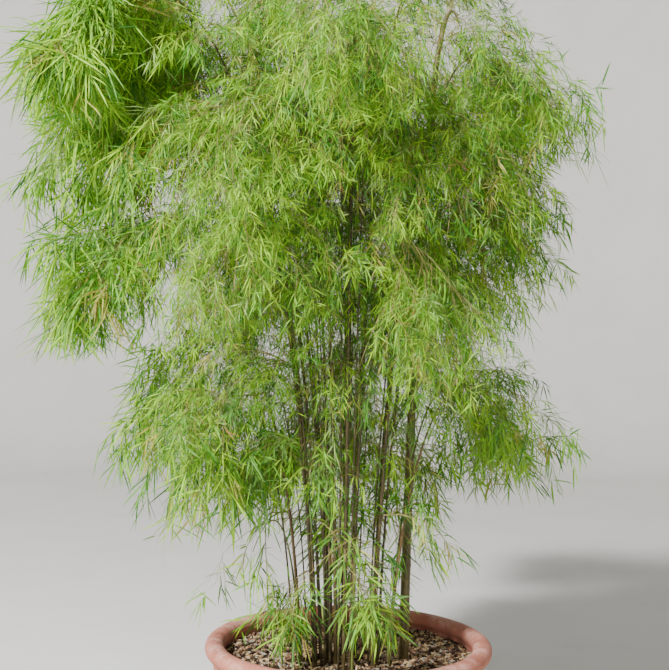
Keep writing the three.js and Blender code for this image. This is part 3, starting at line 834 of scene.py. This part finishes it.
def lowness(places):
    """From 0 in the crown to 1 among the lowest sprays, which start higher further out and are looser."""
    under = LOW_UNDER + LOW_SLOPE * np.linalg.norm(places[:, :2] - CLUMP[:2], axis=1)
    return np.clip((under - places[:, 2]) / LOW_DEPTH, 0, 1)


def arching(start, heading, length, droop):
    """Curves that set out on a heading and droop at their ends, from three points each."""
    middle = start + heading * (length / 2)[:, None]
    end = start + heading * length[:, None] - UP * (length * droop)[:, None]
    return np.stack([start, start + (middle - start) * 2 / 3, end + (middle - end) * 2 / 3, end], 1)


def one_arch(start, heading, length, droop):
    """One such curve."""
    return arching(start[None], heading[None], np.array([length]), np.array([droop]))[0]


def branch_off(parents, each, length, size, turn, lift, droop):
    """Branches that leave each parent to the left and right in turn, rolled round it, with whose they are."""
    parent = np.repeat(np.arange(len(parents)), each)
    count = len(parent)
    share = np.tile((np.arange(each) + BRANCH_PLACE) / each, len(parents))
    share = np.clip(share + draw.uniform(-BRANCH_STRAY, BRANCH_STRAY, count) / each, BRANCH_FROM, 1)
    start = bezier(parents[parent], share)
    along = heading_of(parents[parent], share)
    across = unit(np.cross(NUDGED_UP, along))
    above = np.cross(along, across)
    angle = draw.uniform(-BRANCH_ROLL, BRANCH_ROLL, count)[:, None]
    away = across * np.cos(angle) + above * np.sin(angle)
    side = np.tile(np.where(np.arange(each) % 2 == 0, 1, -1), len(parents)) * draw.uniform(*turn, count)
    heading = unit(unit(along + away * side[:, None]) + UP * draw.uniform(*lift, count)[:, None])
    length = np.broadcast_to(length, len(parents))[parent] * draw.uniform(*size, count)
    length = length * (1 - BRANCH_SHORTENING * share)
    return arching(start, heading, length, draw.uniform(*droop, count)), parent


draw = np.random.default_rng(TWIG_SEED)
shoots, shoot_owner = branch_off(stems, SHOOTS_PER_STEM, SHOOT_LENGTH, **SHOOT_SPREAD)
stem_twigs, twig_owner = branch_off(stems, TWIGS_PER_STEM, TWIG_LENGTH, **STEM_TWIG_SPREAD)
kept = in_mass(shoots[:, 3], shoot_owner) & (draw.uniform(0, 1, len(shoots)) < fullness[shoot_owner])
shoots, shoot_owner = shoots[kept], shoot_owner[kept]
kept = in_mass(stem_twigs[:, 3], twig_owner) & (draw.uniform(0, 1, len(stem_twigs)) < fullness[twig_owner])
stem_twigs, twig_owner = stem_twigs[kept], twig_owner[kept]

node_shoots = []
for culm in culms:
    for node in culm["nodes"][culm["nodes"] < culm["tier"]["culm_share"]]:
        start = bezier(culm["line"], node)
        if start[2] < (BARE_SHOOT_FOOT if culm["tier"]["name"] == "shoot" else BARE_FOOT):
            continue
        rightward, backward, _ = bearing(culm["degrees"])
        least = NODE_SHOOT_FROM - NODE_SHOOT_BEHIND * max(backward, NODE_SHOOT_ASIDE * abs(rightward))
        odds = np.clip((start[2] - least) / NODE_SHOOT_FADE, NODE_SHOOT_THIN, 1)
        strong = NODE_SHOOT_SMALL + (1 - NODE_SHOOT_SMALL) * odds
        first = draw.uniform(0, 360)
        for i in range(draw.binomial(SHOOTS_PER_NODE, odds)):
            out = bearing(first + i * 360 / SHOOTS_PER_NODE + draw.uniform(-NODE_SHOOT_TURN, NODE_SHOOT_TURN))
            heading = unit(out + UP * draw.uniform(*NODE_SHOOT_RISE))
            length = SHOOT_LENGTH * culm["tier"]["leafiness"] * strong * draw.uniform(*NODE_SHOOT_SIZE)
            node_shoots.append(one_arch(start, heading, length, NODE_SHOOT_DROOP))
for name, node, degrees, length, rise, droop, many in PLACED_SHOOTS:
    culm = next(culm for culm in culms if culm["name"] == name)
    start = bezier(culm["line"], culm["nodes"][node])
    for _ in range(many):
        out = bearing(degrees + draw.uniform(-PLACED_TURN, PLACED_TURN))
        heading = unit(out + UP * rise * draw.uniform(*PLACED_RISE))
        node_shoots.append(one_arch(start, heading, length * draw.uniform(*PLACED_SIZE), droop))
node_shoots = np.array(node_shoots)
node_shoots = node_shoots[in_crown(node_shoots[:, 3])]
node_owner = stem_distances(node_shoots[:, 3]).argmin(1)
inner_from = len(shoots)
shoots = np.concatenate([shoots, node_shoots])
shoot_owner = np.concatenate([shoot_owner, node_owner])

lengths = TWIG_LENGTH * (1 - (1 - LOW_TWIG_LENGTH) * lowness(shoots[:, 0]))
shoot_twigs, parent = branch_off(shoots, TWIGS_PER_SHOOT, lengths, **SHOOT_TWIG_SPREAD)
twigs = np.concatenate([stem_twigs, shoot_twigs])
twig_inner = np.concatenate([np.zeros(len(stem_twigs), bool), parent >= inner_from])
twig_owner = np.concatenate([twig_owner, shoot_owner[parent]])
kept = np.where(twig_inner, in_crown(twigs[:, 3]), in_mass(twigs[:, 3], twig_owner))
kept &= draw.uniform(0, 1, len(twigs)) < 1 - (1 - LOW_TWIGS) * lowness(twigs[:, 0])
twigs, twig_inner, twig_owner = twigs[kept], twig_inner[kept], twig_owner[kept]
twiglets, twiglet_twig = branch_off(twigs, TWIGLETS_PER_TWIG, TWIGLET_LENGTH, **TWIGLET_SPREAD)


def taper_tubes(curves, radii, steps, sides):
    """Thin tubes along curves that run out to a point."""
    share = np.linspace(0, 1, steps + 1)
    paths = bezier(curves[:, None], share[None].repeat(len(curves), 0))
    thickness = np.linspace(radii[0], radii[1], steps)[None].repeat(len(curves), 0)
    across = unit(np.cross(NUDGED_UP, unit(curves[:, 3] - curves[:, 0])))
    return tubes(paths[:, :-1], thickness, across, sides, paths[:, -1:])


side_stems = stems[[i for i, name in enumerate(masses) if "side" in name]]
twig_material = cane_material("twig_skin", "#7d7a3c", "#a3975a")
for name, curves, radii, steps, sides in (
    ("branches", side_stems, STEM_RADII, 14, 8),
    ("side_shoots", shoots, SHOOT_RADII, 6, 4),
    ("twigs", twigs, TWIG_RADII, 4, 3),
    ("twiglets", twiglets, TWIGLET_RADII, 2, 3),
):
    pieces = math.ceil(2 * steps * sides * len(curves) / TRIANGLES_PER_PIECE)
    for part, own in enumerate(np.array_split(curves, pieces)):
        piece = make_mesh(f"{name}_{part + 1}", *taper_tubes(own, radii, steps, sides))
        piece.data.materials.append(twig_material)
        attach(piece, "root")
        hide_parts(*masses)

# Leaves
# Each twiglet carries a drooping fan of long narrow blades, folded a little along the midrib. A fan has one
# tone: mostly light lime further out and deep green inside, with some straw-dry ones. The darker greens
# towards the middle are painted shade for the crown's inside; the straw-dry fans there are dead leaves.
LEAVES_PER_TWIGLET = 14
EDGE_LEAVES = 0.7
CORE_RADIUS = 0.15
CORE_LEAVES = 0.45
LEAF_SHARES = (0.25, 1.0)
LEAF_LENGTH = 0.112
LEAF_WIDTH = 0.0049
LEAF_WIDTHS = (0.75, 1.2)
# Inside the crown leaves are shorter, narrower and less in order than at its left and right edges.
INSIDE_LENGTH = 0.38
INSIDE_WIDTH = 0.64
INSIDE_HANG = 0.75
EDGE_FROM = 0.38
EDGE_DEPTH = 0.35
RIGHT_EDGE = 0.85
LEAF_SIZE = (0.55, 1.2)
LEAF_TURN = (0.4, 1.5)
TIP_TURN = 0.25
LEAF_HANG = (-0.5, 1.3)
LEAF_STRAY = 0.4
INSIDE_STRAY = 0.6
LEAF_SAG = (0.05, 0.34)
LEAF_ROLL = 1.2
LEAF_TWIST = 0.8
LEAF_FOLD = 0.18
LEAF_SHAPES = {"short": [(0.40, 1.0)], "long": [(0.22, 1.0), (0.68, 0.84)]}
LONG_FROM = 0.4
OUTER_TONES_FROM = 0.6
# Two tones, the share of fans, and how much likelier it is further out and inside. Deep and dark greens
# are likelier inside as painted shade of the crown's inside.
LEAF_TONES = {
    "lime": ("#76a81a", "#aad02c", 0.25, 1.6, 0.6),
    "fresh": ("#56941c", "#82b628", 0.25, 1.3, 0.9),
    "green": ("#337022", "#54942a", 0.20, 0.9, 1.2),
    "deep": ("#1b481e", "#336a28", 0.17, 0.5, 1.6),
    "pale": ("#7a9c4e", "#a6c272", 0.06, 1.2, 0.9),
    "straw": ("#9c8a40", "#c8b864", 0.055, 0.4, 1.5),
    "rust": ("#7a5a34", "#a4824c", 0.015, 0.5, 1.5),
}


def leaf_faces(stations):
    """One blade: a root, places across with an edge, a midrib and an edge, and a tip."""
    left, mid, right = [1 + k + 3 * np.arange(stations) for k in range(3)]
    tip = 1 + 3 * stations
    quads = []
    for k in range(stations - 1):
        quads += [(mid[k], right[k], right[k + 1], mid[k + 1]), (left[k], mid[k], mid[k + 1], left[k + 1])]
    root = [(0, right[0], mid[0]), (0, mid[0], left[0])]
    point = [(mid[-1], right[-1], tip), (left[-1], mid[-1], tip)]
    return np.array(quads, int).reshape(-1, 4), np.array(root + point)


def leaf_vertices(leaves, shape):
    """Places of all the blades' corners, from roots, headings, sides, lengths, widths, sags and twists."""
    stations, outline = np.transpose(shape)
    share = np.concatenate([[0], stations, [1]])
    length = leaves["length"][:, None, None]
    heading = leaves["heading"][:, None]
    sag = leaves["sag"][:, None, None]
    spine = leaves["root"][:, None] + length * (heading * share[:, None] - UP * sag * share[:, None] ** 2)
    along = unit(heading - 2 * UP * sag * share[:, None])
    side = unit(leaves["side"][:, None] - along * np.sum(leaves["side"][:, None] * along, -1, keepdims=True))
    above = np.cross(side, along)
    turn = (leaves["twist"][:, None] * share)[..., None]
    side, above = side * np.cos(turn) + above * np.sin(turn), above * np.cos(turn) - side * np.sin(turn)
    half = leaves["width"][:, None, None] / 2 * outline[:, None]
    middle, side, above = spine[:, 1:-1], side[:, 1:-1], above[:, 1:-1]
    raised = above * half * LEAF_FOLD * 2
    across = np.stack([middle - side * half + raised, middle, middle + side * half + raised], 2)
    return np.concatenate([spine[:, :1], across.reshape(len(spine), -1, 3), spine[:, -1:]], 1)


parent = np.repeat(np.arange(len(twiglets)), LEAVES_PER_TWIGLET)
count = len(parent)
share = np.tile(np.linspace(*LEAF_SHARES, LEAVES_PER_TWIGLET), len(twiglets))
root = bezier(twiglets[parent], share)
along = heading_of(twiglets[parent], share)
across = unit(np.cross(NUDGED_UP, along))
left_or_right = np.where(np.arange(LEAVES_PER_TWIGLET) % 2 == 0, 1, -1)
turn = np.tile(left_or_right, len(twiglets)) * draw.uniform(*LEAF_TURN, count) * (1 + TIP_TURN - share)
twig_of_leaf = twiglet_twig[parent]
aside = np.abs(root[:, 0] - CLUMP[0]) * np.where(root[:, 0] > CLUMP[0], RIGHT_EDGE, 1)
loose = np.maximum(np.clip((aside - EDGE_FROM) / EDGE_DEPTH, 0, 1), LOW_LEAF_LENGTH * lowness(root))
hang = draw.uniform(*LEAF_HANG, count) * (INSIDE_HANG + (1 - INSIDE_HANG) * loose)
heading = unit(along + across * turn[:, None] - UP * hang[:, None])
stray = INSIDE_STRAY + (LEAF_STRAY - INSIDE_STRAY) * loose
heading = unit(heading + stray[:, None] * draw.normal(size=(count, 3)))
level = unit(np.cross(NUDGED_UP, heading))
roll = draw.uniform(-LEAF_ROLL, LEAF_ROLL, count)[:, None]
size = draw.uniform(*LEAF_SIZE, count) * np.sqrt(leafiness[twig_owner[twig_of_leaf]])
leaves = dict(
    root=root,
    heading=heading,
    side=level * np.cos(roll) + np.cross(heading, level) * np.sin(roll),
    length=LEAF_LENGTH * size * (INSIDE_LENGTH + (1 - INSIDE_LENGTH) * loose),
    width=LEAF_WIDTH * draw.uniform(*LEAF_WIDTHS, count) * (INSIDE_WIDTH + (1 - INSIDE_WIDTH) * loose),
    sag=draw.uniform(*LEAF_SAG, count),
    twist=draw.uniform(-LEAF_TWIST, LEAF_TWIST, count),
)
tips = root + leaves["length"][:, None] * (heading - UP * leaves["sag"][:, None])
kept = np.where(twig_inner[twig_of_leaf], in_crown(tips), in_mass(tips, twig_owner[twig_of_leaf]))
kept &= (draw.uniform(0, 1, len(twiglets)) > BARE_TWIGLETS)[parent]
core = np.clip(2 - np.linalg.norm(root[:, :2] - CLUMP[:2], axis=1) / CORE_RADIUS, 0, 1)
thinned = [(1 - EDGE_LEAVES) * loose, (1 - LOW_LEAVES) * lowness(root), (1 - CORE_LEAVES) * core]
kept &= draw.uniform(0, 1, count) < 1 - np.max(thinned, axis=0)

# Fans nearer the clump's middle take darker greens, which is painted shade for the crown's inside, mixed with
# the dry straw and rust fans found there.
outward = np.clip(np.linalg.norm(twiglets[:, 3, :2] - CLUMP[:2], axis=1) / OUTER_TONES_FROM, 0, 1)
odds, outer_odds, inner = np.transpose([weights for _, _, *weights in LEAF_TONES.values()])
weights = odds * (inner + (outer_odds - inner) * outward[:, None])
picks = np.cumsum(weights / weights.sum(1, keepdims=True), 1)
twiglet_tone = (draw.uniform(0, 1, (len(twiglets), 1)) > picks).sum(1)
leaf_tone = np.minimum(twiglet_tone, len(odds) - 1)[parent]


def leaf_material(name, first, second):
    """A thin blade: a soft sheen above, paler below, and light that comes through it."""
    material, tree, shader, output = plain_material(name, 0.5, 0.16)
    blade = mottled(tree, first, second, (40, 40, 25), 1.0)
    back = add_node(tree, "ShaderNodeNewGeometry").outputs["Backfacing"]
    below = mixed(tree, counted(tree, "MULTIPLY", back, 0.3), blade.outputs["Colour"], tint("#86a452"))
    tree.links.new(below, shader.inputs["Base Color"])
    through = mixed(tree, 0.35, blade.outputs["Colour"], tint("#8cc42a"))
    glow = add_node(tree, "ShaderNodeBsdfTranslucent", Color=through)
    thin = add_node(tree, "ShaderNodeMixShader", Fac=0.26, _1=shader.outputs["BSDF"], _2=glow.outputs["BSDF"])
    tree.links.new(thin.outputs[0], output.inputs["Surface"])
    return material


def add_leaves(name, material, chosen, shape):
    """One piece of blades of one tone and shape."""
    vertices = leaf_vertices({key: value[chosen] for key, value in leaves.items()}, shape)
    faces = [copied(pattern, len(chosen), vertices.shape[1]) for pattern in leaf_faces(len(shape))]
    piece = make_mesh(name, vertices.reshape(-1, 3), faces)
    piece.data.materials.append(material)
    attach(piece, "root")
    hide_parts(*masses)


for i, (name, (first, second, *_)) in enumerate(LEAF_TONES.items()):
    material = leaf_material(f"leaf_{name}", first, second)
    for kind, shape in LEAF_SHAPES.items():
        own = np.flatnonzero(kept & (leaf_tone == i) & ((loose > LONG_FROM) == (kind == "long")))
        pieces = math.ceil(4 * len(shape) * len(own) / TRIANGLES_PER_PIECE)
        for part, chosen in enumerate(np.array_split(own, pieces)):
            add_leaves(f"leaves_{name}_{kind}_{part + 1}", material, chosen, shape)

# Floor and light
# A plain pale studio floor sweeps up into a round wall a long way off. One soft lamp stands high at the front
# left, and a weak pale fill comes from all round.
FLOOR_RADIUS = 6.5
COVE_RADIUS = 2.0
COVE_STEPS = 17
FLOOR_MIDDLE = 0.01
WALL_HEIGHT = 5.5
FLOOR_SIDES = 96
SKY_TONE = (0.80, 0.86, 0.92, 1.0)
SKY_STRENGTH = 0.27
KEY_PLACE = Vector((-4.6, -5.2, 6.2))
KEY_AIM = Vector((-0.1, -0.1, 1.2))
KEY_SIZE = 0.6
KEY_POWER = 2150

sweep = np.linspace(0, math.pi / 2, COVE_STEPS)
cove = np.stack([FLOOR_RADIUS + COVE_RADIUS * np.sin(sweep), COVE_RADIUS * (1 - np.cos(sweep))], -1)
profile = np.concatenate([[(FLOOR_MIDDLE, 0), (FLOOR_RADIUS / 2, 0)], cove, [(cove[-1, 0], WALL_HEIGHT)]])
angle = np.linspace(0, 2 * math.pi, FLOOR_SIDES, endpoint=False)
radius, height = profile[:, :1], profile[:, 1:]
places = np.stack([radius * np.cos(angle), radius * np.sin(angle), height + 0 * angle], -1).reshape(-1, 3)
centre = np.arange(FLOOR_SIDES)[None]
floor = make_mesh("floor", places, [ring_faces(len(profile), FLOOR_SIDES), centre])
floor_material, tree, shader, _ = plain_material("floor", 0.85, 0.2)
paint = mottled(tree, "#dcdad5", "#d7d5d0", (2, 2, 2), 0.3)
tree.links.new(paint.outputs["Colour"], shader.inputs["Base Color"])
floor.data.materials.append(floor_material)

sky = bpy.data.worlds.new("sky")
sky.use_nodes = True
sky.node_tree.nodes["Background"].inputs["Color"].default_value = SKY_TONE
sky.node_tree.nodes["Background"].inputs["Strength"].default_value = SKY_STRENGTH
bpy.context.scene.world = sky

key = bpy.data.lights.new("key", "AREA")
key.energy = KEY_POWER
key.size = KEY_SIZE
key_lamp = bpy.data.objects.new("key", key)
key_lamp.location = KEY_PLACE
key_lamp.rotation_euler = (KEY_AIM - KEY_PLACE).to_track_quat("-Z", "Y").to_euler()
bpy.context.scene.collection.objects.link(key_lamp)
